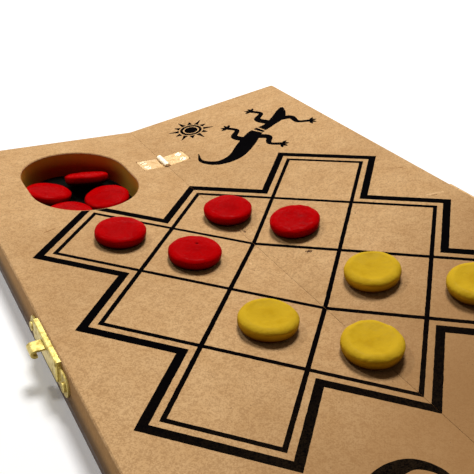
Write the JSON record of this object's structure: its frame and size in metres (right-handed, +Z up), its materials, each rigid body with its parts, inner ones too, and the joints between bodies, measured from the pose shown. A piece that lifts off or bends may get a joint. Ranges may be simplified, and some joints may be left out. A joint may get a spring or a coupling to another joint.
{
  "type": "folding game board",
  "caption": "Folding wooden game board with a slanting printed grid, two pockets with round painted men, two small hinges and a hasp.",
  "frame": {"origin": "centre of the left half's underside, on the surface that it rests on", "axes": "+Y along the fold, +X from the left half across the fold to the right half, +Z up out of the left play face"},
  "size_m": [0.1869, 0.3, 0.0316],
  "materials": {
    "fibreboard": "bare, lightly lacquered medium density fibreboard",
    "hardboard": "dark brown hardboard",
    "felt": "black-green felt",
    "ink": "screen-printed black ink",
    "brass": "thinly plated, slightly worn",
    "red_paint": "wood painted glossy red",
    "yellow_paint": "wood painted glossy yellow"
  },
  "bodies": {
    "left_half": {"left_board": "fibreboard", "left_base": "hardboard", "left_pocket_felt": "felt", "left_grid_print": "ink", "front_hinge_left_leaf": "brass", "back_hinge_left_leaf": "brass", "hinge_screws_left": "brass", "front_hinge_pin": "brass", "back_hinge_pin": "brass", "catch_plate": "brass", "catch_screws": "brass"},
    "right_half": {"right_board": "fibreboard", "right_base": "hardboard", "right_pocket_felt": "felt", "right_grid_print": "ink", "front_hinge_right_leaf": "brass", "back_hinge_right_leaf": "brass", "hinge_screws_right": "brass", "hasp_plate": "brass", "hasp_pin": "brass", "hasp_screws": "brass"},
    "hasp_tongue": {"hasp_tongue": "brass"},
    "red_disc_1_body": {"red_disc_1": "red_paint"},
    "red_disc_2_body": {"red_disc_2": "red_paint"},
    "red_disc_3_body": {"red_disc_3": "red_paint"},
    "red_disc_4_body": {"red_disc_4": "red_paint"},
    "yellow_disc_1_body": {"yellow_disc_1": "yellow_paint"},
    "yellow_disc_2_body": {"yellow_disc_2": "yellow_paint"},
    "yellow_disc_3_body": {"yellow_disc_3": "yellow_paint"},
    "yellow_disc_4_body": {"yellow_disc_4": "yellow_paint"},
    "red_disc_5_body": {"red_disc_5": "red_paint"},
    "red_disc_6_body": {"red_disc_6": "red_paint"},
    "red_disc_7_body": {"red_disc_7": "red_paint"},
    "red_disc_8_body": {"red_disc_8": "red_paint"},
    "yellow_disc_5_body": {"yellow_disc_5": "yellow_paint"},
    "yellow_disc_6_body": {"yellow_disc_6": "yellow_paint"},
    "yellow_disc_7_body": {"yellow_disc_7": "yellow_paint"},
    "yellow_disc_8_body": {"yellow_disc_8": "yellow_paint"}
  },
  "joints": [
    {"name": "fold", "type": "hinge", "parent": "left_half", "child": "right_half", "pos_m": [0.044, 0, 0.0152], "axis": [0, -1, 0], "range_deg": [0, 169.1]},
    {"name": "hasp_swing", "type": "hinge", "parent": "right_half", "child": "hasp_tongue", "pos_m": [0.13374, 0, 0.02831], "axis": [0, -1, 0], "range_deg": [0, 180]},
    {"name": "red_disc_1_off_the_board", "type": "slide", "parent": "left_half", "child": "red_disc_1_body", "axis": [0, 0, 1], "range_m": [0, 0.27]},
    {"name": "red_disc_2_off_the_board", "type": "slide", "parent": "left_half", "child": "red_disc_2_body", "axis": [0, 0, 1], "range_m": [0, 0.27]},
    {"name": "red_disc_3_off_the_board", "type": "slide", "parent": "left_half", "child": "red_disc_3_body", "axis": [0, 0, 1], "range_m": [0, 0.27]},
    {"name": "red_disc_4_off_the_board", "type": "slide", "parent": "left_half", "child": "red_disc_4_body", "axis": [0, 0, 1], "range_m": [0, 0.27]},
    {"name": "yellow_disc_1_off_the_board", "type": "slide", "parent": "left_half", "child": "yellow_disc_1_body", "axis": [0, 0, 1], "range_m": [0, 0.27]},
    {"name": "yellow_disc_2_off_the_board", "type": "slide", "parent": "left_half", "child": "yellow_disc_2_body", "axis": [0, 0, 1], "range_m": [0, 0.27]},
    {"name": "yellow_disc_3_off_the_board", "type": "slide", "parent": "left_half", "child": "yellow_disc_3_body", "axis": [0, 0, 1], "range_m": [0, 0.27]},
    {"name": "yellow_disc_4_off_the_board", "type": "slide", "parent": "left_half", "child": "yellow_disc_4_body", "axis": [0, 0, 1], "range_m": [0, 0.27]},
    {"name": "red_disc_5_lift", "type": "slide", "parent": "left_half", "child": "red_disc_5_body", "axis": [0, 0, 1], "range_m": [0, 0.045]},
    {"name": "red_disc_6_lift", "type": "slide", "parent": "left_half", "child": "red_disc_6_body", "axis": [0, 0, 1], "range_m": [0, 0.045]},
    {"name": "red_disc_7_lift", "type": "slide", "parent": "left_half", "child": "red_disc_7_body", "axis": [0, 0, 1], "range_m": [0, 0.045]},
    {"name": "red_disc_8_lift", "type": "slide", "parent": "left_half", "child": "red_disc_8_body", "axis": [0, 0, 1], "range_m": [0, 0.045]},
    {"name": "yellow_disc_5_lift", "type": "slide", "parent": "right_half", "child": "yellow_disc_5_body", "axis": [-0.1891, 0, 0.982], "range_m": [0, 0.045]},
    {"name": "yellow_disc_6_lift", "type": "slide", "parent": "right_half", "child": "yellow_disc_6_body", "axis": [-0.1891, 0, 0.982], "range_m": [0, 0.045]},
    {"name": "yellow_disc_7_lift", "type": "slide", "parent": "right_half", "child": "yellow_disc_7_body", "axis": [-0.1891, 0, 0.982], "range_m": [0, 0.045]},
    {"name": "yellow_disc_8_lift", "type": "slide", "parent": "right_half", "child": "yellow_disc_8_body", "axis": [-0.1891, 0, 0.982], "range_m": [0, 0.045]}
  ],
  "couplings": [
    {"joint": "red_disc_1_off_the_board", "follows": "fold", "m_per_rad": 0.09},
    {"joint": "red_disc_2_off_the_board", "follows": "fold", "m_per_rad": 0.09},
    {"joint": "red_disc_3_off_the_board", "follows": "fold", "m_per_rad": 0.09},
    {"joint": "red_disc_4_off_the_board", "follows": "fold", "m_per_rad": 0.09},
    {"joint": "yellow_disc_1_off_the_board", "follows": "fold", "m_per_rad": 0.09},
    {"joint": "yellow_disc_2_off_the_board", "follows": "fold", "m_per_rad": 0.09},
    {"joint": "yellow_disc_3_off_the_board", "follows": "fold", "m_per_rad": 0.09},
    {"joint": "yellow_disc_4_off_the_board", "follows": "fold", "m_per_rad": 0.09}
  ]
}
